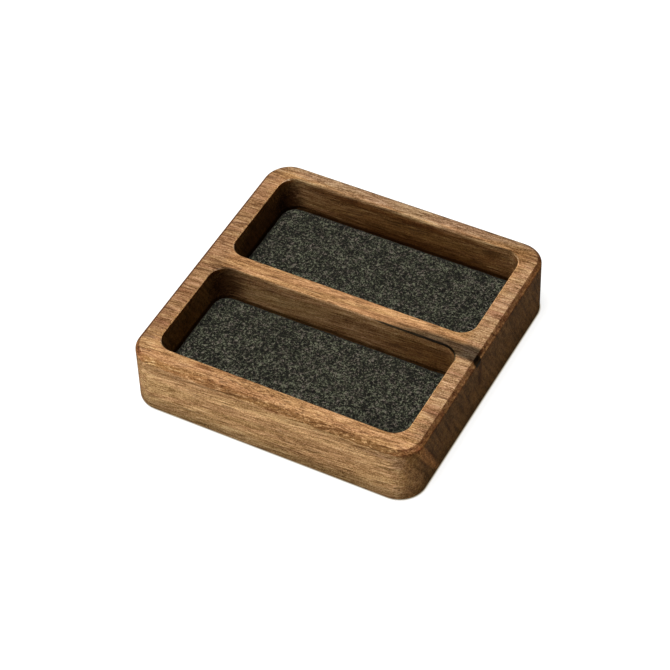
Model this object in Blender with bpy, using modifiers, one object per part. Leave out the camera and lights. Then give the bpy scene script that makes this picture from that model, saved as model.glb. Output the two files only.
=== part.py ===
"""A wooden desk organizer: a milled walnut block with two felt-lined pockets, on four small pads.

Metres, +Z up. The origin is on the surface that the tray stands on, under the middle of the block.
X runs from left to right, along the pockets and along the grain of the wood. The front is towards -Y.
"""

import math

import bmesh
import bpy

TRAY_NAME = "desk_organizer_tray"
CUTTERS_NAME = "desk_organizer_cutters"

# Walnut block
BLOCK_WIDTH = 0.112
BLOCK_DEPTH = 0.112
BLOCK_HEIGHT = 0.0245
CORNER_RADIUS = 0.010
TOP_CHAMFER = 0.0016
ARRIS_RADIUS = 0.0003
BASE_EDGE_RADIUS = 0.0006

# Pockets milled into the block
SIDE_WALL = 0.0075
FRONT_WALL = 0.008
BACK_WALL = 0.0072
DIVIDER_WALL = 0.0075
FLOOR_THICKNESS = 0.0067
MILLING_CUTTER_RADIUS = 0.00635
POCKET_LIP_CHAMFER = 0.0004

# Felt liners on the pocket floors
LINER_THICKNESS = 0.003
LINER_SIDE_CLEARANCE = 0.0005
LINER_EDGE_RADIUS = 0.0005

# Round pads in shallow recesses under the block
PAD_DIAMETER = 0.008
PAD_THICKNESS = 0.0016
PAD_PROJECTION = 0.0005
PAD_EDGE_RADIUS = 0.0003
PAD_CENTRE_INSET = 0.014

# Gaps: the bond line under a glued piece, the play round a pad, and how far a cutter runs past its cut
BOND_GAP = 0.0003
PAD_RECESS_PLAY = 0.0003
CUTTER_OVERRUN = 0.001

# Facets
CORNER_SEGMENTS = 20
POCKET_CORNER_SEGMENTS = 14
EDGE_SEGMENTS = 3
PAD_STEPS = 36
PAD_EDGE_STEPS = 4
SMOOTH_ANGLE = math.radians(30)
HEIGHT_TOLERANCE = 0.000001
MERGE_DISTANCE = 0.00001
ROUND_PROFILE_SHARE = 0.5

# Finishes: colour, roughness, metallic
WALNUT_FINISH = ((0.36, 0.19, 0.09, 1.0), 0.5, 0.0)
FELT_FINISH = ((0.045, 0.045, 0.042, 1.0), 0.95, 0.0)
RUBBER_FINISH = ((0.02, 0.02, 0.02, 1.0), 0.7, 0.0)

# Sizes that follow from those above
POCKET_WIDTH = BLOCK_WIDTH - 2 * SIDE_WALL
POCKET_DEPTH = (BLOCK_DEPTH - FRONT_WALL - BACK_WALL - DIVIDER_WALL) / 2
POCKET_CENTRES = {
    "front": FRONT_WALL + POCKET_DEPTH / 2 - BLOCK_DEPTH / 2,
    "rear": BLOCK_DEPTH / 2 - BACK_WALL - POCKET_DEPTH / 2,
}
POCKET_FLOOR = PAD_PROJECTION + FLOOR_THICKNESS
BLOCK_TOP = PAD_PROJECTION + BLOCK_HEIGHT
PAD_CENTRES = {
    "front_left": (PAD_CENTRE_INSET - BLOCK_WIDTH / 2, PAD_CENTRE_INSET - BLOCK_DEPTH / 2),
    "front_right": (BLOCK_WIDTH / 2 - PAD_CENTRE_INSET, PAD_CENTRE_INSET - BLOCK_DEPTH / 2),
    "rear_left": (PAD_CENTRE_INSET - BLOCK_WIDTH / 2, BLOCK_DEPTH / 2 - PAD_CENTRE_INSET),
    "rear_right": (BLOCK_WIDTH / 2 - PAD_CENTRE_INSET, BLOCK_DEPTH / 2 - PAD_CENTRE_INSET),
}


def clear_scene():
    """Removes whatever the scene holds."""
    for thing in list(bpy.data.objects):
        bpy.data.objects.remove(thing)


def make_collection(name):
    """A collection linked to the scene."""
    collection = bpy.data.collections.new(name)
    bpy.context.scene.collection.children.link(collection)
    return collection


def make_material(name, finish):
    """A Principled material with a colour, a roughness and a metallic value."""
    colour, roughness, metallic = finish
    material = bpy.data.materials.new(name)
    material.use_nodes = True
    shader = material.node_tree.nodes["Principled BSDF"]
    shader.inputs["Base Color"].default_value = colour
    shader.inputs["Roughness"].default_value = roughness
    shader.inputs["Metallic"].default_value = metallic
    material.diffuse_color = colour
    return material


def rim_edges(shape, height):
    """The edges that lie level at a height."""
    return [
        edge
        for edge in shape.edges
        if all(abs(vertex.co.z - height) < HEIGHT_TOLERANCE for vertex in edge.verts)
    ]


def bevel_edges(shape, edges, width, segments):
    """Rounds edges, or chamfers them where there is one segment."""
    bmesh.ops.bevel(
        shape,
        geom=edges,
        offset=width,
        segments=segments,
        profile=ROUND_PROFILE_SHARE,
        affect="EDGES",
    )


def slab(width, depth, height, corner_radius, corner_segments):
    """A box with round upright corners, centred on its origin and standing on it."""
    shape = bmesh.new()
    bmesh.ops.create_cube(shape, size=1)
    bmesh.ops.translate(shape, vec=(0, 0, 1 / 2), verts=shape.verts)
    bmesh.ops.scale(shape, vec=(width, depth, height), verts=shape.verts)
    upright = [edge for edge in shape.edges if edge.verts[0].co.xy == edge.verts[1].co.xy]
    bevel_edges(shape, upright, corner_radius, corner_segments)
    return shape


def place(shape, name, location, collection, parent, material=None):
    """Turns a modelled shape into a named object, shaded smooth apart from its sharp edges."""
    mesh = bpy.data.meshes.new(name)
    bmesh.ops.recalc_face_normals(shape, faces=shape.faces)
    shape.to_mesh(mesh)
    shape.free()
    mesh.shade_smooth()
    mesh.set_sharp_from_angle(angle=SMOOTH_ANGLE)
    if material:
        mesh.materials.append(material)
    piece = bpy.data.objects.new(name, mesh)
    piece.location = location
    piece.parent = parent
    collection.objects.link(piece)
    return piece


def cut(piece, cutter):
    """Takes the cutter's volume out of the piece."""
    cutter.hide_render = True
    cutter.display_type = "WIRE"
    boolean = piece.modifiers.new("cut " + cutter.name, "BOOLEAN")
    boolean.operation = "DIFFERENCE"
    boolean.solver = "EXACT"
    boolean.object = cutter


def flare_top(shape, width, depth, corner_radius, flare):
    """Draws a slab's top face up and outwards by the same amount, round the centres of its corners."""
    top = max(shape.faces, key=lambda face: face.calc_center_median().z)
    grown = bmesh.ops.extrude_face_region(shape, geom=[top])["geom"]
    bmesh.ops.delete(shape, geom=[top], context="FACES_ONLY")
    for vertex in (item for item in grown if isinstance(item, bmesh.types.BMVert)):
        centre_x = math.copysign(width / 2 - corner_radius, vertex.co.x)
        centre_y = math.copysign(depth / 2 - corner_radius, vertex.co.y)
        vertex.co.x += (vertex.co.x - centre_x) * flare / corner_radius
        vertex.co.y += (vertex.co.y - centre_y) * flare / corner_radius
        vertex.co.z += flare


def pocket_cutter(side, cutters, parent):
    """The milled pocket: straight walls, corners of the milling cutter's radius, and a mouth eased at 45 degrees."""
    height = BLOCK_TOP - POCKET_LIP_CHAMFER - POCKET_FLOOR
    shape = slab(POCKET_WIDTH, POCKET_DEPTH, height, MILLING_CUTTER_RADIUS, POCKET_CORNER_SEGMENTS)
    flare = POCKET_LIP_CHAMFER + CUTTER_OVERRUN
    flare_top(shape, POCKET_WIDTH, POCKET_DEPTH, MILLING_CUTTER_RADIUS, flare)
    location = (0, POCKET_CENTRES[side], POCKET_FLOOR)
    return place(shape, side + "_pocket_cutter", location, cutters, parent)


def pad_recess_cutter(corner, cutters, parent):
    """The shallow round recess that a pad is stuck into."""
    depth = PAD_THICKNESS + BOND_GAP - PAD_PROJECTION
    height = depth + CUTTER_OVERRUN
    radius = PAD_DIAMETER / 2 + PAD_RECESS_PLAY
    shape = bmesh.new()
    bmesh.ops.create_cone(
        shape,
        cap_ends=True,
        segments=PAD_STEPS,
        radius1=radius,
        radius2=radius,
        depth=height,
    )
    x, y = PAD_CENTRES[corner]
    location = (x, y, PAD_PROJECTION + depth - height / 2)
    return place(shape, corner + "_recess_cutter", location, cutters, parent)


def tray_body(tray, cutters, parent, walnut):
    """The walnut block: round corners, chamfered top edge, two pockets and four pad recesses."""
    shape = slab(BLOCK_WIDTH, BLOCK_DEPTH, BLOCK_HEIGHT, CORNER_RADIUS, CORNER_SEGMENTS)
    bevel_edges(shape, rim_edges(shape, 0), BASE_EDGE_RADIUS, EDGE_SEGMENTS)
    bevel_edges(shape, rim_edges(shape, BLOCK_HEIGHT), TOP_CHAMFER, 1)
    arrises = rim_edges(shape, BLOCK_HEIGHT) + rim_edges(shape, BLOCK_HEIGHT - TOP_CHAMFER)
    bevel_edges(shape, arrises, ARRIS_RADIUS, EDGE_SEGMENTS)
    body = place(shape, "tray_body", (0, 0, PAD_PROJECTION), tray, parent, walnut)
    for side in POCKET_CENTRES:
        cut(body, pocket_cutter(side, cutters, parent))
    for corner in PAD_CENTRES:
        cut(body, pad_recess_cutter(corner, cutters, parent))


def liner(side, tray, parent, felt):
    """A felt panel glued to a pocket's floor, cut a little smaller than the pocket."""
    shape = slab(
        POCKET_WIDTH - 2 * LINER_SIDE_CLEARANCE,
        POCKET_DEPTH - 2 * LINER_SIDE_CLEARANCE,
        LINER_THICKNESS,
        MILLING_CUTTER_RADIUS - LINER_SIDE_CLEARANCE,
        POCKET_CORNER_SEGMENTS,
    )
    bevel_edges(shape, rim_edges(shape, LINER_THICKNESS), LINER_EDGE_RADIUS, EDGE_SEGMENTS)
    location = (0, POCKET_CENTRES[side], POCKET_FLOOR + BOND_GAP)
    place(shape, side + "_liner", location, tray, parent, felt)


def pad_profile():
    """Half of a pad's section, from the middle of its top, down its side and in to the middle of its foot."""
    radius = PAD_DIAMETER / 2
    points = [(0, PAD_THICKNESS), (radius, PAD_THICKNESS)]
    for step in range(PAD_EDGE_STEPS + 1):
        turn = math.pi / 2 * step / PAD_EDGE_STEPS
        points.append(
            (
                radius - PAD_EDGE_RADIUS + PAD_EDGE_RADIUS * math.cos(turn),
                PAD_EDGE_RADIUS - PAD_EDGE_RADIUS * math.sin(turn),
            )
        )
    points.append((0, 0))
    return points


def pad(corner, tray, parent, rubber):
    """A round pad, turned from its profile, that lifts the block just clear of the desk."""
    shape = bmesh.new()
    corners = [shape.verts.new((x, 0, z)) for x, z in pad_profile()]
    for upper, lower in zip(corners, corners[1:]):
        shape.edges.new((upper, lower))
    x, y = PAD_CENTRES[corner]
    piece = place(shape, "pad_" + corner, (x, y, 0), tray, parent, rubber)
    turning = piece.modifiers.new("turned", "SCREW")
    turning.axis = "Z"
    turning.angle = 2 * math.pi
    turning.steps = PAD_STEPS
    turning.render_steps = PAD_STEPS
    turning.use_merge_vertices = True
    turning.merge_threshold = MERGE_DISTANCE
    turning.use_smooth_shade = True


def main():
    clear_scene()
    tray = make_collection(TRAY_NAME)
    cutters = make_collection(CUTTERS_NAME)
    parent = bpy.data.objects.new("tray_origin", None)
    tray.objects.link(parent)
    tray_body(tray, cutters, parent, make_material("walnut", WALNUT_FINISH))
    felt = make_material("felt", FELT_FINISH)
    for side in POCKET_CENTRES:
        liner(side, tray, parent, felt)
    rubber = make_material("rubber", RUBBER_FINISH)
    for corner in PAD_CENTRES:
        pad(corner, tray, parent, rubber)


main()
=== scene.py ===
"""The look of the walnut desk organizer: oiled walnut, charcoal wool felt in both pockets, rubber pads below.

Metres, +Z up, X along the grain, the front towards -Y. Lengths inside the materials are in millimetres.
"""

import math

import bmesh
import bpy
from mathutils import Euler, Matrix, Vector, noise


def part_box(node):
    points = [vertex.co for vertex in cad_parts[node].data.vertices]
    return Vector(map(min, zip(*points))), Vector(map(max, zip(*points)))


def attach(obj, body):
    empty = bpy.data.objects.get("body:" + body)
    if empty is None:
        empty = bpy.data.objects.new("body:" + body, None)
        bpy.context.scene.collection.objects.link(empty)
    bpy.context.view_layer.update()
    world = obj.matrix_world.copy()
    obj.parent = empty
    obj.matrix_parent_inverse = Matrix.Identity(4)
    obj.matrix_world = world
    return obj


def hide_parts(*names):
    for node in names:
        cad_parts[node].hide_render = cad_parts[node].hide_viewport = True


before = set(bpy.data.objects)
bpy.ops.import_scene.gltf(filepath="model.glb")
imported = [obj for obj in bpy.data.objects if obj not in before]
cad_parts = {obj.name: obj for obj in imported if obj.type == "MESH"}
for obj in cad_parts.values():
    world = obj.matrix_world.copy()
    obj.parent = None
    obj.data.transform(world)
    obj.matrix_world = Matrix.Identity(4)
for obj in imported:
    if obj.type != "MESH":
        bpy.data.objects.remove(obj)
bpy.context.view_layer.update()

X, Y, Z = range(3)
MM = 1000.0
WHITE = (1.0, 1.0, 1.0)

# Camera: where it looks, from which side, how far off and how long the lens is
CAMERA_TARGET = Vector((-0.000245, -0.005019, 0.0117))
CAMERA_AZIMUTH = math.radians(29.289)
CAMERA_ELEVATION = math.radians(46.260)
CAMERA_ROLL = math.radians(-2.214)
CAMERA_DISTANCE = 0.88859
CAMERA_LENS = 133.82
CAMERA_SENSOR = 36.0

# Light: each panel's azimuth and elevation in degrees, its distance and size in metres and its power in watts
PANELS = {
    "overhead_softbox": {
        "azimuth": -30, "elevation": 79, "distance": 1.1, "width": 0.5, "height": 0.5, "power": 14.6
    },
    "front_card": {
        "azimuth": -22, "elevation": 3, "distance": 1.3, "width": 0.9, "height": 0.12, "power": 10.4
    },
}
AMBIENT_COLOUR = (1.0, 0.98, 0.94)
AMBIENT_STRENGTH = 0.1

# Floor: it glows for the camera alone, but not under the block, which makes the close shadow. In millimetres:
# how far back the shadow is shifted, and how far past the block's sides the glow starts and is full.
FLOOR_SIZE = 6.0
FLOOR_TINT = (0.36, 0.35, 0.33)
FLOOR_ROUGHNESS = 0.9
FLOOR_GLOW = 0.83
SHADOW_CAST = (1.0, 0.83, 0.50)
SHADOW_SHIFT = (0.0, 0.5, 0.0)
SHADOW_EDGE = (-0.62, 0.48)

# The block, in millimetres: how far out its round corners are centred, their radius, its height on its pads,
# the chamfer's width, and the reach from the middle within which a face is a pocket's
CORNER_CENTRE = 46.0
CORNER_RADIUS = 10.0
TOP_HEIGHT = 25.0
RIM_WIDTH = 1.6
POCKET_REACH = 50.5

# Ranges from where a look starts to where it is full. The first two are how far a face turns up or towards an
# end, the next three are millimetres from the middle, and the last five are heights in millimetres.
FACES_UP = (0.72, 0.95)
FACES_END = (0.3, 0.95)
END_WALLS = (46.5, 52.5)
LINED_ENDS = (44.0, 49.0)
POCKET_WALLS = (POCKET_REACH, POCKET_REACH - 0.5)
# Painted shade high on the pocket walls, painted highlights on their lips, a painted glow under the end lips,
# a painted shadow at the walls' feet and painted shade near the floor
DIM_UPPER_WALLS = (20.0, TOP_HEIGHT)
POCKET_LIP = (24.45, 24.6)
SIDE_LIP_GLOW = (22.0, 24.6)
DARK_WALL_FEET = (12.1, 10.5)
DARK_FOOT = (9.0, 1.5)

# Noises drawn out along X: how many millimetres long, wide and high their marks are, as high as wide where no
# height is given, and a shift that keeps them apart. GRAIN is the figure itself, and MARKS lie over it.
GRAIN = {
    "bands": {"along": 60, "across": 8.0, "height": 4.5, "detail": 3.0, "roughness": 0.55},
    "lines": {"along": 34, "across": 1.5, "height": 1.3, "roughness": 0.6, "shift": 31},
    "fibres": {"along": 18.0, "across": 0.75, "height": 0.68, "detail": 1.0, "roughness": 0.6, "shift": 57},
    "threads": {"along": 8.0, "across": 0.36, "detail": 1.0, "roughness": 0.6, "shift": 71},
    "flecks": {"along": 0.55, "across": 0.32, "detail": 1.0, "roughness": 0.6, "shift": 91},
    "dashes": {"along": 10.0, "across": 0.42, "detail": 1.0, "shift": 119},
    "veins": {"along": 26, "across": 0.80, "roughness": 0.6, "shift": 173},
    "patches": {"along": 22, "across": 4.0, "shift": 151},
    "crumbs": {"along": 1.9, "across": 0.62, "detail": 1.0, "shift": 197},
}
MARKS = {
    "warmth": {"along": 40, "across": 3.5, "detail": 1.0, "shift": 83},
    "stripes": {"along": 30, "across": 1.4, "detail": 1.0, "shift": 97},
    "fringe": {"along": 9, "across": 0.7, "roughness": 0.6, "shift": 211},
    "specks": {"along": 2.4, "across": 0.8, "roughness": 0.7, "shift": 241},
    "wear": {"along": 3.0, "across": 2.4, "height": 1.0, "roughness": 0.6, "shift": 263},
}

# The values that noises swing about, the range that splits one evenly, and those over which the pores open
NOISE_MIDDLE = 0.5
TONE_MIDDLE = 0.54
SPECK_MIDDLE = 0.55
EVEN_SPLIT = (0.35, 0.65)
PORES = {"dashes": (0.56, 0.64), "veins": (0.60, 0.72), "crumbs": (0.54, 0.68)}

# How the grain strays from X: how fine its bends are and how many millimetres they reach, and its slope
GRAIN_SWAY = {"fineness": (0.022, 0.045, 0.045), "strength": (0.0, 2.4, 2.4)}
GRAIN_TREMOR = {"fineness": (0.07, 0.4, 0.4), "strength": (0.0, 0.3, 0.3)}
GRAIN_LEAN = {"Y": -0.06, "Z": -0.09}

# The worn rim: where it starts and is full along the front and back and on the end walls, in millimetres past
# the chamfer; the range of its specks; and the stretch from left to right over which its tint changes
SPECKLED_RIM = (-0.5, -0.1)
EVEN_RIM = (-1.9, -0.1)
RIM_SPECKS = (0.30, 0.70)
RIM_LENGTH = (-40.0, 40.0)

# The wood's colours by tone, the colours it is mixed with, the tints it is multiplied by, and how strongly
WOOD_TONES = [
    (0.0, (0.075, 0.034, 0.011)),
    (0.25, (0.190, 0.096, 0.036)),
    (0.5, (0.360, 0.200, 0.085)),
    (0.75, (0.520, 0.312, 0.145)),
    (1.0, (0.690, 0.460, 0.240)),
]
WOOD_COLOURS = {
    "ends": (0.36, 0.20, 0.085),
    "dark lines": (0.085, 0.040, 0.017),
    "pores": (0.10, 0.045, 0.018),
}
WOOD_TINTS = {
    "reddish stripes": (1.0, 0.85, 0.83),
    "yellowish stripes": (1.0, 1.0, 0.80),
    "heart streak, sides": (0.20, 0.18, 0.16),
    "heart streak, top": (0.21, 0.24, 0.28),
    "darkest heart": (0.12, 0.15, 0.15),
    "top": (1.0, 0.94, 0.94),
    "end grain, dark": (0.31, 0.248, 0.135),
    "end grain, light": (0.85, 0.735, 0.525),
    "long rims, dark": (0.42, 0.34, 0.26),
    "long rims, light": (0.60, 0.52, 0.44),
    "long rims, far left": (1.12, 1.12, 1.12),
    "long rims, far right": (0.70, 0.68, 0.64),
    "end rims, dark": (0.50, 0.36, 0.34),
    "end rims, light": (0.80, 0.68, 0.62),
    # Tints of painted shade, painted highlights and painted glow on the pocket walls and lips, and of painted
    # shade near the floor
    "painted shade on upper pocket walls": (0.50, 0.48, 0.46),
    "painted highlight on pocket lips": (1.15, 1.25, 1.40),
    "painted highlight on end lips": (2.35, 3.1, 5.0),
    "painted glow under end lips": (1.9, 1.35, 0.75),
    "painted shadow at wall feet": (0.26, 0.22, 0.16),
    "foot": (0.50, 0.50, 0.48),
}
WOOD_SHARES = {
    "reddish stripes": 0.4,
    "yellowish stripes": 0.35,
    "ends": 0.4,
    "dark lines": 0.65,
    "pores": 0.75,
}

# The wood's changes of shade: some are its own tone, others are painted light or painted shade. Each has a
# tint, the share of the radii within which it is full, and the ellipsoids that it fills, in millimetres
SHADES = {
    # Brown patches of the wood on the front and tops; the spots on the pocket walls are painted shade
    "brown patches and painted wall shade": {
        "tint": (0.76, 0.73, 0.68), "edge": 0.3, "spots": [
            {"middle": (-44, -56, 21.2), "radii": (9, 5, 3.2), "tilt": -0.05},
            {"middle": (-20, -56, 21.9), "radii": (7, 5, 1.0)},
            {"middle": (29, -56, 22.4), "radii": (17, 5, 2.1), "tilt": 0.05},
            {"middle": (49, 51, 25), "radii": (11, 8, 3.0)},
            {"middle": (51.6, -54.2, 24.2), "radii": (3.6, 3.0, 1.3)},
            {"middle": (-27.5, -49.8, 25), "radii": (4.0, 1.2, 1.5)},
            {"middle": (44, -3.35, 17), "radii": (40, 2.5, 9)},
            {"middle": (-4, -3.35, 12), "radii": (22, 2.5, 3.5)},
            {"middle": (0, 48.8, 17), "radii": (60, 2.5, 9)},
        ],
    },
    # Painted light: a lighter band high on the front face, where more light falls
    "painted light band along the front": {
        "tint": (1.30, 1.34, 1.38), "edge": 0.1, "spots": [
            {"middle": (-4, -56, 18.3), "radii": (80, 4, 3.0), "tilt": -0.01},
        ],
    },
    "greyer front": {
        "tint": (1.015, 1.05, 1.08), "edge": 0.8, "spots": [
            {"middle": (0, -56, 11), "radii": (72, 3, 22)},
        ],
    },
    "pale tops": {
        "tint": (1.14, 1.17, 1.20), "edge": 0.2, "spots": [
            {"middle": (22, 2.0, 25), "radii": (36, 3.4, 3.0)},
            {"middle": (24, -51.5, 25), "radii": (28, 3.4, 2.0)},
            {"middle": (52, 39, 25), "radii": (6, 8, 3.0)},
            {"middle": (52, -20, 25), "radii": (6, 12, 3.0)},
        ],
    },
    "palest stretch of the divider": {
        "tint": (1.14, 1.17, 1.17), "edge": 0.3, "spots": [
            {"middle": (26, 2.4, 25), "radii": (34, 3.2, 3.0)},
        ],
    },
    "golden front corner": {
        "tint": (1.22, 1.22, 1.12), "edge": 0.3, "spots": [
            {"middle": (53, -49.5, 25), "radii": (3.4, 3.6, 1.2)},
        ],
    },
    "rosy patches": {
        "tint": (0.84, 0.75, 0.75), "edge": 0.2, "spots": [
            {"middle": (-28.5, -49.8, 25), "radii": (6, 1.9, 1.5)},
            {"middle": (-53, -20.5, 25), "radii": (9, 2.6, 3.0)},
            {"middle": (-53, -37.0, 25), "radii": (9, 2.2, 3.0)},
            {"middle": (53, 18, 25), "radii": (9, 3.0, 3.0)},
            {"middle": (53, -14, 25), "radii": (9, 1.2, 3.0)},
            {"middle": (53, -33, 25), "radii": (9, 3.6, 3.0)},
            {"middle": (2, -56, 23.2), "radii": (5, 3, 1.2)},
        ],
    },
    "greyish front corner": {
        "tint": (0.76, 0.76, 0.83), "edge": 0.2, "spots": [
            {"middle": (46, -56, 21.5), "radii": (12, 5, 2.6)},
            {"middle": (51, -55.5, 19.5), "radii": (5, 4, 5.5)},
        ],
    },
    # Painted light on the round bend of the front right corner
    "painted light on the front corner's bend": {
        "tint": (1.60, 1.75, 2.30), "edge": 0.2, "spots": [
            {"middle": (56.5, -51.0, 11), "radii": (5.5, 5.5, 14)},
        ],
    },
    "light band on the right end": {
        "tint": (2.3, 2.1, 2.2), "edge": 0.4, "spots": [
            {"middle": (57, -44.0, 13.7), "radii": (4, 2.7, 22), "roll": 0.54},
        ],
    },
    "dark lines on the right end": {
        "tint": (0.62, 0.55, 0.50), "edge": 0.2, "spots": [
            {"middle": (56, -46.8, 14.0), "radii": (5, 0.8, 12), "roll": 0.54},
            {"middle": (56, -41.6, 14.0), "radii": (5, 0.9, 12), "roll": 0.50},
            {"middle": (56, -35.0, 14.0), "radii": (5, 0.6, 8), "roll": 0.45},
            {"middle": (56, -28.0, 13.0), "radii": (5, 0.8, 8), "roll": 0.42},
            {"middle": (56, -14.0, 15.0), "radii": (5, 0.7, 7), "roll": 0.45},
        ],
    },
    "duller left wall": {
        "tint": (0.76, 0.77, 0.84), "edge": 0.6, "spots": [
            {"middle": (-54, 0, 25), "radii": (9, 66, 3.0)},
        ],
    },
    "greyer back and right walls": {
        "tint": (0.94, 1.02, 1.20), "edge": 0.5, "spots": [
            {"middle": (0, 54, 25), "radii": (80, 6.0, 3.0)},
            {"middle": (54, 0, 25), "radii": (7, 70, 3.0)},
        ],
    },
    "dull back wall": {
        "tint": (0.88, 0.93, 1.00), "edge": 0.5, "spots": [
            {"middle": (0, 54, 25), "radii": (72, 6.0, 3.0)},
        ],
    },
    # Partly the wood's darker tone, partly painted shade on the pocket walls
    "dark pocket walls, partly painted shade": {
        "tint": (0.66, 0.56, 0.42), "edge": 0.2, "spots": [
            {"middle": (48, -3.35, 16), "radii": (44, 2.5, 10)},
            {"middle": (49, -6, 14), "radii": (5, 6, 10)},
            {"middle": (10, 48.8, 16), "radii": (80, 2.5, 11)},
            {"middle": (-48.5, -30, 15), "radii": (3, 26, 11)},
        ],
    },
    # Painted shadow low on the rear pocket's walls
    "painted shadow low in the rear pocket": {
        "tint": (0.42, 0.34, 0.26), "edge": 0.5, "spots": [
            {"middle": (8, 48.8, 9.5), "radii": (70, 2.5, 7.0)},
            {"middle": (-48.5, 27, 14), "radii": (3, 23, 12)},
        ],
    },
    # Painted shade in the pockets' inner left bends
    "painted shade in the pockets' left bends": {
        "tint": (0.16, 0.12, 0.10), "edge": 0.3, "spots": [
            {"middle": (-44.3, -5.8, 16.5), "radii": (10, 8, 15)},
            {"middle": (-46, 45.5, 14), "radii": (8, 8, 13)},
        ],
    },
    # Painted shade on the back wall just under the rear lip
    "painted shade under the rear lip": {
        "tint": (0.58, 0.45, 0.34), "edge": 0.3, "spots": [
            {"middle": (-5, 48.8, 22.4), "radii": (62, 1.0, 2.4)},
        ],
    },
    "golden rear corner": {
        "tint": (1.35, 1.32, 1.25), "edge": 0.1, "spots": [
            {"middle": (57, 44, 24), "radii": (4, 16, 6.0)},
        ],
    },
    # Painted light on the right end just under the rim
    "painted light under the right rim": {
        "tint": (1.50, 1.60, 1.60), "edge": 0.2, "spots": [
            {"middle": (57, 0, 23.1), "radii": (3, 80, 1.5)},
        ],
    },
}

# The dark heartwood at the right end of the divider and its darkest parts; where the figure is flecked and
# where it is calmer; and the dark lines across the walls and along the front
HEART_STREAK = {"middle": (66, -3.4, 25), "radii": (60, 4.5, 1.7), "turn": -0.02, "tilt": 0.015, "edge": 0.6}
HEART_DARKEST = [
    {"middle": (58, -4.7, 24.5), "radii": (5, 3.2, 3.6)},
    {"middle": (34, -3.3, 24.65), "radii": (22, 0.8, 0.55)},
    {"middle": (45.5, -6.0, 24.6), "radii": (5.5, 5.0, 0.75)},
]
FLECKED_ZONE = {"middle": (0, -54, 27), "radii": (56, 9.0, 4.5), "edge": 0.6}
CALM_ZONE = {"middle": (6, 1.6, 25), "radii": (56, 4.6, 3.0), "edge": 0.6}
DARK_LINES = [
    {"middle": (-22.5, -56, 22.67), "radii": (22, 4, 0.45), "tilt": -0.106},
    {"middle": (-53, 45.5, 25), "radii": (6, 1.1, 1.5), "turn": 0.15},
    {"middle": (-53, 22.2, 25), "radii": (5, 0.5, 1.5), "turn": 0.2},
    {"middle": (-51, 18.8, 25), "radii": (7, 0.8, 1.5), "turn": 0.25},
    {"middle": (-52, 14.0, 25), "radii": (5, 0.5, 1.5), "turn": 0.2},
    {"middle": (-53, 10.6, 25), "radii": (4, 0.5, 1.5), "turn": 0.1},
    {"middle": (-52, -8.0, 25), "radii": (5, 0.7, 1.5), "turn": 0.05},
    {"middle": (-52, -19.0, 25), "radii": (5, 0.5, 1.5), "turn": 0.05},
    {"middle": (-52, -30.5, 25), "radii": (5, 0.6, 1.5), "turn": 0.05},
    {"middle": (-53, -45.5, 25), "radii": (6, 1.0, 1.5), "turn": 0.2},
    {"middle": (53, 24.0, 25), "radii": (6, 0.5, 1.5), "turn": 0.02},
    {"middle": (53, -15.0, 25), "radii": (6, 0.5, 1.5), "turn": -0.02},
    {"middle": (53, -26.0, 25), "radii": (6, 0.6, 1.5), "turn": -0.05},
    {"middle": (53, -34.5, 25), "radii": (6, 0.5, 1.5), "turn": -0.05},
    {"middle": (-26, -0.4, 25), "radii": (7, 0.4, 1.5)},
    {"middle": (-11, -0.7, 25), "radii": (5, 0.4, 1.5), "turn": 0.03},
    {"middle": (-30, -56, 7.2), "radii": (20, 3, 0.5), "tilt": -0.03},
    {"middle": (6, -56, 6.4), "radii": (10, 3, 0.45), "tilt": -0.02},
    {"middle": (27, -56, 5.6), "radii": (7, 3, 0.4), "tilt": -0.02},
]

# Felt panels, in metres: the size of their cells, the rounding of their edges and corners and its steps, and
# the span and depth of their lumps, which rise no more than FELT_RISE above the liner's face
FELT_CELL = 0.0006
FELT_EDGE_ROUNDING = 0.0007
FELT_EDGE_STEPS = 3
FELT_CORNER_RADIUS = 0.00585
FELT_CORNER_STEPS = 10
FELT_LUMPS = ((0.0045, 0.00012), (0.0014, 0.00010), (0.0006, 0.00006))
FELT_RISE = 0.0002
SAME_HEIGHT = 1e-6

# The felt's looks, in millimetres: how its wool tangles, the line midway between the panels, how far from it
# each panel's middle is, its half length and half width, the range past its edge over which painted shade
# darkens it, the ellipsoids of painted shade near the left walls and the one of painted shadow at the front
# right
FELT_TANGLE = {"fineness": (0.7, 0.7, 0.7), "strength": (1.6, 1.6, 1.6)}
FELT_MIDWAY = 0.4
FELT_MIDDLE = 26.075
FELT_HALF = (48.0, 21.825)
FELT_DARK_EDGE = (-1.4, -0.1)
FELT_DIMMED = [
    {"middle": (-50, -24, 10.5), "radii": (16, 44, 8)},
    {"middle": (-50, 26, 10.5), "radii": (16, 44, 8)},
]
FELT_DARKEST = {"middle": (42, -42, 10.5), "radii": (38, 16, 8), "edge": 0.2}
FELT_TONES = [
    (0.0, (0.001, 0.001, 0.0005)),
    (0.35, (0.011, 0.011, 0.006)),
    (0.65, (0.050, 0.049, 0.035)),
    (1.0, (0.165, 0.160, 0.124)),
]
FELT_TINTS = {
    "pinkish wool": (1.12, 0.95, 1.04),
    "greenish wool": (0.95, 1.04, 0.88),
    # Tints of painted shade near the left walls, painted shadow at the front right and painted shade along
    # the edges
    "dimmed": (0.92, 0.92, 0.91),
    "darkest": (0.45, 0.46, 0.42),
    "edge": (0.25, 0.20, 0.14),
    "sheen": (1.0, 0.97, 0.86),
}

RUBBER_DARK = (0.012, 0.012, 0.012)
RUBBER_LIGHT = (0.035, 0.034, 0.033)

# Shading of the solids: corners nearer than SAME_CORNER metres are one, and edges bent more than the angle
# stay crisp. The pockets' fine lips do, while the outer edges look rounded.
SAME_CORNER = 0.000002
POCKET_SMOOTH_ANGLE = math.radians(30)
OUTER_SMOOTH_ANGLE = math.radians(60)


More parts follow.
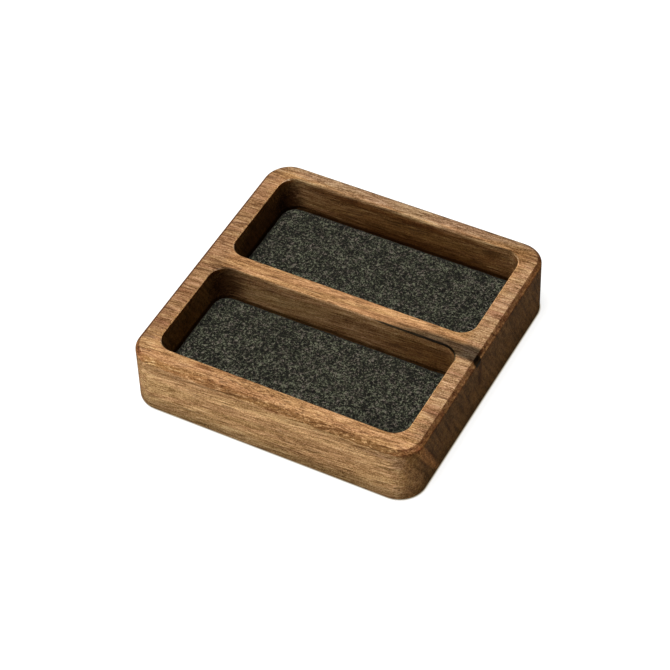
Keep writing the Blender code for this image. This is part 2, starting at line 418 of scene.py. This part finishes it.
class Wiring:
    """Adds and wires a tree's nodes. A value is a number, a vector, a colour or another node's output."""

    def __init__(self, tree):
        self.tree = tree

    def plug(self, node, values):
        """Gives a node's inputs, by name or number, their values."""
        for name, value in dict(values).items():
            socket = node.inputs[name]
            if isinstance(value, bpy.types.NodeSocket):
                self.tree.links.new(value, socket)
            elif socket.type == "RGBA":
                socket.default_value = (*value, 1.0)
            else:
                socket.default_value = value

    def node(self, kind, values=(), output=0, **settings):
        made = self.tree.nodes.new("ShaderNode" + kind)
        for name, value in settings.items():
            setattr(made, name, value)
        self.plug(made, values)
        return made.outputs[output]

    def group(self, tree, values=()):
        made = self.tree.nodes.new("ShaderNodeGroup")
        made.node_tree = tree
        self.plug(made, values)
        return made.outputs

    def math(self, operation, first, second=0.0, third=0.0):
        return self.node("Math", {0: first, 1: second, 2: third}, operation=operation)

    def plus(self, first, second):
        return self.math("ADD", first, second)

    def minus(self, first, second):
        return self.math("SUBTRACT", first, second)

    def times(self, first, second):
        return self.math("MULTIPLY", first, second)

    def line(self, value, slope, start):
        """The start plus the slope times the value."""
        return self.math("MULTIPLY_ADD", value, slope, start)

    def size(self, value):
        """The value without its sign."""
        return self.math("ABSOLUTE", value)

    def vector(self, operation, first, second=(0, 0, 0), output="Vector"):
        return self.node("VectorMath", {0: first, 1: second}, output=output, operation=operation)

    def scaled(self, vector, *factors):
        """The vector times one factor, or times a factor for each axis."""
        return self.vector("MULTIPLY", vector, factors if len(factors) == 3 else factors * 3)

    def axis(self, vector, number):
        return self.node("SeparateXYZ", {0: vector}, output=number)

    def noise(self, vector, detail=2.0, roughness=0.5, output="Fac"):
        values = {"Vector": vector, "Scale": 1.0, "Detail": detail, "Roughness": roughness}
        return self.node("TexNoise", values, output=output)

    def streaks(self, vector, along, across, height=None, detail=2.0, roughness=0.5, shift=0.0):
        """Noise drawn out along X: its marks are about so many millimetres long, wide and high."""
        moved = self.vector("ADD", vector, (shift, shift, shift))
        drawn_out = self.scaled(moved, 1 / along, 1 / across, 1 / (height or across))
        return self.noise(drawn_out, detail, roughness)

    def swing(self, noise_value):
        """How far a noise is from its middle."""
        return self.minus(noise_value, NOISE_MIDDLE)

    def total(self, start, shares):
        """The start plus each noise's swing, times its share."""
        for value, share in shares:
            start = self.line(self.swing(value), share, start)
        return start

    def push(self, vector, fineness, strength):
        """A vector that wanders about zero from place to place; both settings have a number for each axis."""
        wandering = self.noise(self.scaled(vector, *fineness), output="Color")
        wandering = self.vector("SUBTRACT", wandering, (NOISE_MIDDLE,) * 3)
        return self.scaled(wandering, *strength)

    def between(self, value, low, high, to_low=0.0, to_high=1.0, smooth=True):
        """Goes from to_low, where the value is low, to to_high, where it is high, and never past them."""
        values = {"Value": value, "From Min": low, "From Max": high, "To Min": to_low, "To Max": to_high}
        kind = "SMOOTHSTEP" if smooth else "LINEAR"
        return self.node("MapRange", values, interpolation_type=kind)

    def spot(self, place, middle, radii, turn=0.0, tilt=0.0, roll=0.0, edge=0.5, fray=None):
        """1 in an ellipsoid up to the share of its radii that edge says, falling to 0 at its surface.

        It is turned about Z, tilted about Y and rolled about X, in radians, and the fray moves its surface.
        """
        local = self.vector("SUBTRACT", place, middle)
        if turn or tilt or roll:
            axes = Euler((roll, tilt, turn)).to_matrix().transposed()
            parts = [self.vector("DOT_PRODUCT", local, axis, output="Value") for axis in axes]
            local = self.node("CombineXYZ", dict(enumerate(parts)))
        local = self.vector("DIVIDE", local, radii)
        distance = self.vector("LENGTH", local, output="Value")
        if fray is not None:
            distance = self.plus(distance, fray)
        return self.between(distance, 1.0, edge)

    def spots(self, place, shapes, edge=0.5, fray=None):
        """The strongest of several spots."""
        found = 0.0
        for shape in shapes:
            found = self.math("MAXIMUM", found, self.spot(place, edge=edge, fray=fray, **shape))
        return found

    def ramp(self, value, stops):
        made = self.tree.nodes.new("ShaderNodeValToRGB")
        elements = made.color_ramp.elements
        while len(elements) < len(stops):
            elements.new(0.5)
        for element, (position, colour) in zip(elements, stops):
            element.position = position
            element.color = (*colour, 1.0)
        self.plug(made, {0: value})
        return made.outputs[0]

    def mix(self, share, first, second, blend="MIX"):
        made = self.tree.nodes.new("ShaderNodeMix")
        made.data_type = "RGBA"
        made.blend_type = blend
        self.plug(made, {"Factor": share, 6: first, 7: second})
        return made.outputs[2]

    def tinted(self, share, colour, tint):
        """The colour, multiplied by the tint as far as the share says."""
        return self.mix(share, colour, self.mix(1.0, colour, tint, "MULTIPLY"))


def effect(name, inputs, outputs):
    """A shader node group that is given a Place: its tree, wiring, inputs by name and output node."""
    tree = bpy.data.node_groups.new(name, "ShaderNodeTree")
    tree.interface.new_socket(name="Place", in_out="INPUT", socket_type="NodeSocketVector")
    for socket_name in inputs:
        tree.interface.new_socket(name=socket_name, in_out="INPUT", socket_type="NodeSocketFloat")
    for socket_name, kind in outputs.items():
        tree.interface.new_socket(name=socket_name, in_out="OUTPUT", socket_type="NodeSocket" + kind)
    given = tree.nodes.new("NodeGroupInput").outputs
    return tree, Wiring(tree), given, tree.nodes.new("NodeGroupOutput")


def surface(name):
    """A new material: its wiring, its shader and the place on the piece in millimetres."""
    material = bpy.data.materials.new(name)
    material.use_nodes = True
    w = Wiring(material.node_tree)
    shader = material.node_tree.nodes["Principled BSDF"]
    return material, w, shader, w.scaled(w.node("TexCoord", output="Object"), MM)


def grain_direction():
    """Bends the place on the wood, so that lines along its X waver like real grain and lean a little."""
    tree, w, given, result = effect("grain direction", [], {"Place": "Vector"})
    place = given["Place"]
    sway = w.push(place, **GRAIN_SWAY)
    tremor = w.push(place, **GRAIN_TREMOR)
    bent = w.vector("ADD", w.vector("ADD", place, sway), tremor)
    along = w.axis(place, X)
    lean = w.node("CombineXYZ", {axis: w.times(along, slope) for axis, slope in GRAIN_LEAN.items()})
    w.plug(result, {"Place": w.vector("ADD", bent, lean)})
    return tree


def wood_grain():
    """Walnut figure in a solid block, drawn out along X: its tone, its open pores and its fibres."""
    outputs = {"Tone": "Float", "Pores": "Float", "Fibres": "Float"}
    tree, w, given, result = effect("walnut grain", ["Lined", "Flecked"], outputs)
    figure = {name: w.streaks(given["Place"], **sizes) for name, sizes in GRAIN.items()}
    shares = [
        (figure["bands"], 0.5),
        (figure["lines"], w.line(given["Lined"], 0.3, 0.55)),
        (figure["fibres"], w.line(given["Flecked"], -0.4, 0.9)),
        (figure["threads"], 0.9),
        (figure["flecks"], 1.3),
    ]
    dashes = w.between(figure["dashes"], *PORES["dashes"])
    veins = w.between(figure["veins"], *PORES["veins"])
    patchy = w.between(figure["patches"], *EVEN_SPLIT, 0.3, 1.0)
    crumbs = w.times(w.between(figure["crumbs"], *PORES["crumbs"]), given["Flecked"])
    pores = w.math("MAXIMUM", w.times(w.math("MAXIMUM", dashes, veins), patchy), crumbs)
    w.plug(result, {"Tone": w.total(TONE_MIDDLE, shares), "Pores": pores, "Fibres": figure["fibres"]})
    return tree


def wood_colour(w, bent, tone, lined):
    """The walnut's colour before its shades: light and dark by its tone, redder or yellower by stripes."""
    colour = w.ramp(tone, WOOD_TONES)
    stripes = w.swing(w.streaks(bent, **MARKS["stripes"]))
    warmth = w.plus(w.streaks(bent, **MARKS["warmth"]), w.times(stripes, w.line(lined, 1.0, 0.3)))
    reddish = w.tinted(WOOD_SHARES["reddish stripes"], colour, WOOD_TINTS["reddish stripes"])
    yellowish = w.tinted(WOOD_SHARES["yellowish stripes"], colour, WOOD_TINTS["yellowish stripes"])
    return w.mix(w.between(warmth, *EVEN_SPLIT), reddish, yellowish)


def shaded(w, colour, place, fray):
    """The colour with the wood's changes of tone, its painted light and painted shade, and its dark lines."""
    for shade in SHADES.values():
        mask = w.spots(place, shade["spots"], edge=shade["edge"], fray=fray)
        colour = w.tinted(mask, colour, shade["tint"])
    lines = w.spots(place, DARK_LINES, edge=0.2, fray=fray)
    return w.mix(w.times(lines, WOOD_SHARES["dark lines"]), colour, WOOD_COLOURS["dark lines"])


def end_grain(w, place):
    """The tint of the sawn ends: leaning rings crossed by short rays, with a few pale sparks."""
    rays = w.noise(w.scaled(place, 1.0, 1.5, 0.6), detail=1.0, roughness=0.6)
    leaning = {"Vector": place, "Rotation": (0.50, 0.0, 0.0), "Scale": (6.0, 1.5, 12.0)}
    rings = w.noise(w.node("Mapping", leaning, vector_type="TEXTURE"), detail=3.0, roughness=0.55)
    mottle = w.total(0.42, [(rays, 0.9), (rings, 1.9)])
    mottle = w.line(w.between(rays, 0.66, 0.78), 0.6, mottle)
    return w.mix(mottle, WOOD_TINTS["end grain, dark"], WOOD_TINTS["end grain, light"])


def past_corner_centres(w, place):
    """How far a place lies, seen from above, outside the square between the round corners' centres."""
    across = w.vector("SUBTRACT", w.vector("ABSOLUTE", place), (CORNER_CENTRE, CORNER_CENTRE, 0.0))
    across = w.scaled(w.vector("MAXIMUM", across, (0, 0, 0)), 1.0, 1.0, 0.0)
    return w.vector("LENGTH", across, output="Value")


def rim(w, colour, place, outer, not_upward):
    """The colour with the worn chamfered rim: speckled at the front and back, even along the end walls."""
    below_rim = w.minus(w.axis(place, Z), CORNER_RADIUS + TOP_HEIGHT - RIM_WIDTH)
    # 0 on the chamfer, and below 0 by the millimetres that a place lies inward of it or under it
    nearness = w.plus(past_corner_centres(w, place), below_rim)
    specks = w.streaks(place, **MARKS["specks"])
    speckled = w.between(w.line(w.minus(specks, SPECK_MIDDLE), 2.2, nearness), *SPECKLED_RIM)
    even = w.times(w.between(nearness, *EVEN_RIM), not_upward)

    by_specks = w.between(specks, *RIM_SPECKS)
    long_tint = w.mix(by_specks, WOOD_TINTS["long rims, dark"], WOOD_TINTS["long rims, light"])
    rightward = w.between(w.axis(place, X), *RIM_LENGTH, smooth=False)
    side = w.mix(rightward, WOOD_TINTS["long rims, far left"], WOOD_TINTS["long rims, far right"])
    long_tint = w.tinted(1.0, long_tint, side)
    by_wear = w.between(w.streaks(place, **MARKS["wear"]), *EVEN_SPLIT)
    end_tint = w.mix(by_wear, WOOD_TINTS["end rims, dark"], WOOD_TINTS["end rims, light"])
    return w.tinted(w.mix(outer, speckled, even), colour, w.mix(outer, long_tint, end_tint))


def pocket_walls(w, colour, height, within, endward):
    """The colour with painted shade atop the pocket walls, painted light on the lips, painted shadow by the
    felt.
    """
    # Painted shade high on the walls, painted highlights on the lips, painted glow under the end lips and
    # painted shadow at the walls' feet
    upper = w.times(w.between(height, *DIM_UPPER_WALLS), within)
    colour = w.tinted(upper, colour, WOOD_TINTS["painted shade on upper pocket walls"])
    lip = w.times(w.between(height, *POCKET_LIP), within)
    colour = w.tinted(lip, colour, WOOD_TINTS["painted highlight on pocket lips"])
    side_lip = w.times(lip, w.between(endward, 0.0, 0.5))
    colour = w.tinted(side_lip, colour, WOOD_TINTS["painted highlight on end lips"])
    glow = w.times(w.between(height, *SIDE_LIP_GLOW), w.times(within, endward))
    colour = w.tinted(glow, colour, WOOD_TINTS["painted glow under end lips"])
    feet = w.times(w.between(height, *DARK_WALL_FEET), within)
    return w.tinted(feet, colour, WOOD_TINTS["painted shadow at wall feet"])


def walnut():
    """Oiled walnut, sawn so that the ends of the block show darker end grain."""
    material, w, shader, place = surface("oiled walnut")
    facing = w.node("TexCoord", output="Normal")
    upward = w.between(w.axis(facing, Z), *FACES_UP)
    not_upward = w.minus(1.0, upward)
    endward = w.between(w.size(w.axis(facing, X)), *FACES_END)
    from_middle = w.size(w.axis(place, X))
    height = w.axis(place, Z)
    outer = w.between(from_middle, *END_WALLS)
    reach = w.math("MAXIMUM", from_middle, w.size(w.axis(place, Y)))
    within = w.times(w.between(reach, *POCKET_WALLS), not_upward)
    fray = w.times(w.swing(w.streaks(place, **MARKS["fringe"])), 0.9)

    bent = w.group(grain_direction(), {"Place": place})["Place"]
    lined = w.between(from_middle, *LINED_ENDS)
    flecked = w.spot(place, **FLECKED_ZONE)
    grain = w.group(wood_grain(), {"Place": bent, "Lined": lined, "Flecked": flecked})
    calm = w.spot(place, **CALM_ZONE)
    swing = w.times(w.minus(grain["Tone"], TONE_MIDDLE), w.line(calm, -0.3, 1.0))
    colour = wood_colour(w, bent, w.plus(swing, TONE_MIDDLE), lined)
    colour = w.mix(w.times(endward, WOOD_SHARES["ends"]), colour, WOOD_COLOURS["ends"])
    colour = shaded(w, colour, place, fray)
    colour = w.mix(w.times(grain["Pores"], WOOD_SHARES["pores"]), colour, WOOD_COLOURS["pores"])

    streak = w.spot(place, fray=w.times(fray, 0.3), **HEART_STREAK)
    streak_tint = w.mix(upward, WOOD_TINTS["heart streak, sides"], WOOD_TINTS["heart streak, top"])
    colour = w.tinted(streak, colour, streak_tint)
    colour = w.tinted(upward, colour, WOOD_TINTS["top"])
    colour = w.tinted(endward, colour, end_grain(w, place))
    darkest = w.spots(place, HEART_DARKEST, edge=0.75, fray=w.times(fray, 0.5))
    colour = w.tinted(w.times(darkest, not_upward), colour, WOOD_TINTS["darkest heart"])

    colour = rim(w, colour, place, outer, not_upward)
    colour = pocket_walls(w, colour, height, within, endward)
    # Painted shade on the wood near the floor, weaker on the end grain
    foot = w.times(w.between(w.plus(height, fray), *DARK_FOOT), w.line(endward, -0.8, 1.0))
    colour = w.tinted(foot, colour, WOOD_TINTS["foot"])

    relief = w.line(grain["Pores"], -1.0, w.times(grain["Fibres"], 0.6))
    w.plug(shader, {
        "Base Color": colour,
        "Specular IOR Level": 0.03,
        "Roughness": w.line(grain["Pores"], 0.15, 0.52),
        "Normal": w.node("Bump", {"Height": relief, "Strength": 0.5, "Distance": 0.00008}),
    })
    return material


def felt():
    """Charcoal wool felt: dark wool with lighter fibres tangled through it, with painted shade along its
    edges, near the left walls and at the front right.
    """
    material, w, shader, place = surface("charcoal felt")
    bent = w.vector("ADD", place, w.push(place, **FELT_TANGLE))
    clumps = w.noise(w.scaled(bent, 0.32), detail=1.0)
    tufts = w.noise(w.scaled(bent, 1.05), detail=1.0)
    fibres = w.noise(w.scaled(bent, 2.6), detail=1.0, roughness=0.6)
    tone = w.total(0.33, [(clumps, 1.1), (tufts, 2.8), (fibres, 3.9)])
    colour = w.ramp(tone, FELT_TONES)
    cast = w.plus(w.noise(w.scaled(place, 0.5), roughness=0.6), w.times(w.swing(fibres), 0.6))
    cast = w.mix(w.between(cast, *EVEN_SPLIT), FELT_TINTS["pinkish wool"], FELT_TINTS["greenish wool"])
    colour = w.tinted(1.0, colour, cast)
    # Painted shade near the left walls, and painted shadow at the front right
    colour = w.tinted(w.spots(place, FELT_DIMMED, edge=0.2), colour, FELT_TINTS["dimmed"])
    colour = w.tinted(w.spot(place, **FELT_DARKEST), colour, FELT_TINTS["darkest"])
    # Painted shade along the felt's edges, by the walls
    from_middle = w.size(w.axis(place, X))
    from_midway = w.size(w.minus(w.axis(place, Y), FELT_MIDWAY))
    across = w.size(w.minus(from_midway, FELT_MIDDLE))
    past_edge = w.math("MAXIMUM", w.minus(from_middle, FELT_HALF[0]), w.minus(across, FELT_HALF[1]))
    colour = w.tinted(w.between(past_edge, *FELT_DARK_EDGE), colour, FELT_TINTS["edge"])
    w.plug(shader, {
        "Base Color": colour,
        "Roughness": w.between(fibres, 0.3, 0.7, 0.85, 1.0),
        "Specular IOR Level": 0.05,
        "Sheen Weight": 0.05,
        "Sheen Roughness": 0.6,
        "Sheen Tint": FELT_TINTS["sheen"],
        "Normal": w.node("Bump", {"Height": tone, "Strength": 0.7, "Distance": 0.0004}),
    })
    return material


def rubber():
    """Black rubber with a fine moulded grain."""
    material, w, shader, place = surface("pad rubber")
    grain = w.noise(w.scaled(place, 5.0), detail=3.0)
    w.plug(shader, {
        "Base Color": w.mix(grain, RUBBER_DARK, RUBBER_LIGHT),
        "Roughness": w.between(grain, 0.3, 0.7, 0.55, 0.8),
        "Normal": w.node("Bump", {"Height": grain, "Strength": 0.3, "Distance": 0.00005}),
    })
    return material


def smooth_shading():
    """Geometry nodes that join a faceted solid's triangles and shade its round stretches smooth."""
    tree = bpy.data.node_groups.new("smooth round stretches", "GeometryNodeTree")
    tree.interface.new_socket(name="Geometry", in_out="INPUT", socket_type="NodeSocketGeometry")
    tree.interface.new_socket(name="Geometry", in_out="OUTPUT", socket_type="NodeSocketGeometry")
    link = tree.links.new
    start = tree.nodes.new("NodeGroupInput")
    end = tree.nodes.new("NodeGroupOutput")
    merge = tree.nodes.new("GeometryNodeMergeByDistance")
    merge.inputs["Distance"].default_value = SAME_CORNER
    faces = tree.nodes.new("GeometryNodeSetShadeSmooth")
    faces.domain = "FACE"
    edges = tree.nodes.new("GeometryNodeSetShadeSmooth")
    edges.domain = "EDGE"
    edges.inputs["Shade Smooth"].default_value = False
    link(start.outputs[0], merge.inputs["Geometry"])
    link(merge.outputs[0], faces.inputs["Geometry"])
    link(faces.outputs[0], edges.inputs["Geometry"])
    link(edges.outputs[0], end.inputs[0])

    # The angle past which an edge is crisp depends on whether it lies within the pockets' reach
    w = Wiring(tree)
    place = w.vector("ABSOLUTE", tree.nodes.new("GeometryNodeInputPosition").outputs[0])
    reach = w.math("MAXIMUM", w.axis(place, X), w.axis(place, Y))
    outside = w.math("GREATER_THAN", reach, POCKET_REACH / MM)
    limit = w.line(outside, OUTER_SMOOTH_ANGLE - POCKET_SMOOTH_ANGLE, POCKET_SMOOTH_ANGLE)
    angle = tree.nodes.new("GeometryNodeInputMeshEdgeAngle").outputs["Unsigned Angle"]
    sharp = tree.nodes.new("FunctionNodeCompare")
    sharp.operation = "GREATER_THAN"
    w.plug(sharp, {"A": angle, "B": limit})
    link(sharp.outputs[0], edges.inputs["Selection"])
    return tree


def dress(node, material, shading):
    """Gives a solid that stays its finish, and shades it without facets."""
    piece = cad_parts[node]
    piece.data.materials.clear()
    piece.data.materials.append(material)
    joined = piece.modifiers.new("smooth", "NODES")
    joined.node_group = shading
    even = piece.modifiers.new("even shading", "WEIGHTED_NORMAL")
    even.mode = "FACE_AREA"
    even.weight = 100
    even.keep_sharp = True


def soft_slab(name, low, high):
    """A mesh of a slab between two corners, with round upright corners and a round upper edge."""
    shape = bmesh.new()
    bmesh.ops.create_cube(shape, size=1)
    bmesh.ops.scale(shape, vec=high - low, verts=shape.verts)
    bmesh.ops.translate(shape, vec=(low + high) / 2, verts=shape.verts)
    rounding = {"profile": 0.5, "affect": "EDGES"}
    upright = [edge for edge in shape.edges if edge.verts[0].co.xy == edge.verts[1].co.xy]
    bmesh.ops.bevel(shape, geom=upright, offset=FELT_CORNER_RADIUS, segments=FELT_CORNER_STEPS, **rounding)
    upper = [edge for edge in shape.edges if all(abs(v.co.z - high.z) < SAME_HEIGHT for v in edge.verts)]
    bmesh.ops.bevel(shape, geom=upper, offset=FELT_EDGE_ROUNDING, segments=FELT_EDGE_STEPS, **rounding)
    mesh = bpy.data.meshes.new(name)
    shape.to_mesh(mesh)
    shape.free()
    return mesh


def roughen(mesh, low, high):
    """Raises and sinks a felt panel's mesh in lumps, all but its underside."""
    normals = [vertex.normal.copy() for vertex in mesh.vertices]
    for vertex, normal in zip(mesh.vertices, normals):
        if vertex.co.z < low.z + FELT_CELL:
            continue
        lift = sum(depth * noise.noise(vertex.co / span) for span, depth in FELT_LUMPS)
        vertex.co += normal * lift
        vertex.co.z = min(vertex.co.z, high.z + FELT_RISE)


def felt_panel(node, name, material):
    """A felt panel in a liner's place: a soft slab, its face lumpy and its edge not quite straight."""
    low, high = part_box(node)
    panel = bpy.data.objects.new(name, soft_slab(name, low, high))
    bpy.context.scene.collection.objects.link(panel)
    remesh = panel.modifiers.new("even cells", "REMESH")
    remesh.mode = "VOXEL"
    remesh.voxel_size = FELT_CELL
    graph = bpy.context.evaluated_depsgraph_get()
    dense = bpy.data.meshes.new_from_object(panel.evaluated_get(graph))
    panel.modifiers.clear()
    panel.data = dense
    roughen(dense, low, high)
    dense.shade_smooth()
    dense.name = name
    dense.materials.clear()
    dense.materials.append(material)
    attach(panel, "root")
    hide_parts(node)


def direction(azimuth, elevation):
    """The unit vector towards an azimuth, 0 at the front and growing to the right, and an elevation."""
    level = math.cos(elevation)
    return Vector((math.sin(azimuth) * level, -math.cos(azimuth) * level, math.sin(elevation)))


def add_camera():
    """The camera, turned towards its target and rolled about the line of sight."""
    back = direction(CAMERA_AZIMUTH, CAMERA_ELEVATION)
    right = (-back).cross(Vector((0, 0, 1))).normalized()
    up = back.cross(right)
    turned_right = right * math.cos(CAMERA_ROLL) + up * math.sin(CAMERA_ROLL)
    turned_up = up * math.cos(CAMERA_ROLL) - right * math.sin(CAMERA_ROLL)
    data = bpy.data.cameras.new("camera")
    data.lens = CAMERA_LENS
    data.sensor_width = CAMERA_SENSOR
    camera = bpy.data.objects.new("camera", data)
    turn = Matrix((turned_right, turned_up, back)).transposed()
    camera.matrix_world = Matrix.Translation(CAMERA_TARGET + back * CAMERA_DISTANCE) @ turn.to_4x4()
    bpy.context.scene.collection.objects.link(camera)
    bpy.context.scene.camera = camera


def add_light():
    """The panels of light, each aimed at the middle of the floor, and a faint even light from all round."""
    for name, panel in PANELS.items():
        data = bpy.data.lights.new(name, "AREA")
        data.shape = "RECTANGLE"
        data.size = panel["width"]
        data.size_y = panel["height"]
        data.energy = panel["power"]
        towards = direction(math.radians(panel["azimuth"]), math.radians(panel["elevation"]))
        light = bpy.data.objects.new(name, data)
        light.location = towards * panel["distance"]
        light.rotation_mode = "QUATERNION"
        light.rotation_quaternion = towards.to_track_quat("Z", "Y")
        light.visible_camera = False
        bpy.context.scene.collection.objects.link(light)
    world = bpy.data.worlds.new("studio")
    world.use_nodes = True
    sky = world.node_tree.nodes["Background"]
    Wiring(world.node_tree).plug(sky, {"Color": AMBIENT_COLOUR, "Strength": AMBIENT_STRENGTH})
    bpy.context.scene.world = world
    bpy.context.scene.view_settings.view_transform = "Standard"


def add_floor():
    """A plain pale floor that the camera sees almost white, but for the close shadow under the block."""
    bpy.ops.mesh.primitive_plane_add(size=FLOOR_SIZE)
    floor = bpy.context.object
    floor.name = "floor"
    material, w, shader, place = surface("pale floor")
    outward = past_corner_centres(w, w.vector("SUBTRACT", place, SHADOW_SHIFT))
    open_floor = w.between(w.minus(outward, CORNER_RADIUS), *SHADOW_EDGE)
    seen = w.node("LightPath", output="Is Camera Ray")
    w.plug(shader, {
        "Base Color": FLOOR_TINT,
        "Roughness": FLOOR_ROUGHNESS,
        "Specular IOR Level": 0.0,
        "Emission Color": w.mix(open_floor, SHADOW_CAST, WHITE),
        "Emission Strength": w.times(seen, w.times(open_floor, FLOOR_GLOW)),
    })
    floor.data.materials.append(material)


def main():
    """Builds the scene."""
    add_camera()
    add_light()
    add_floor()
    shading = smooth_shading()
    dress("tray_body", walnut(), shading)
    pad_rubber = rubber()
    for corner in ("front_left", "front_right", "rear_left", "rear_right"):
        dress("pad_" + corner, pad_rubber, shading)
    wool = felt()
    felt_panel("front_liner", "front_felt", wool)
    felt_panel("rear_liner", "rear_felt", wool)


main()
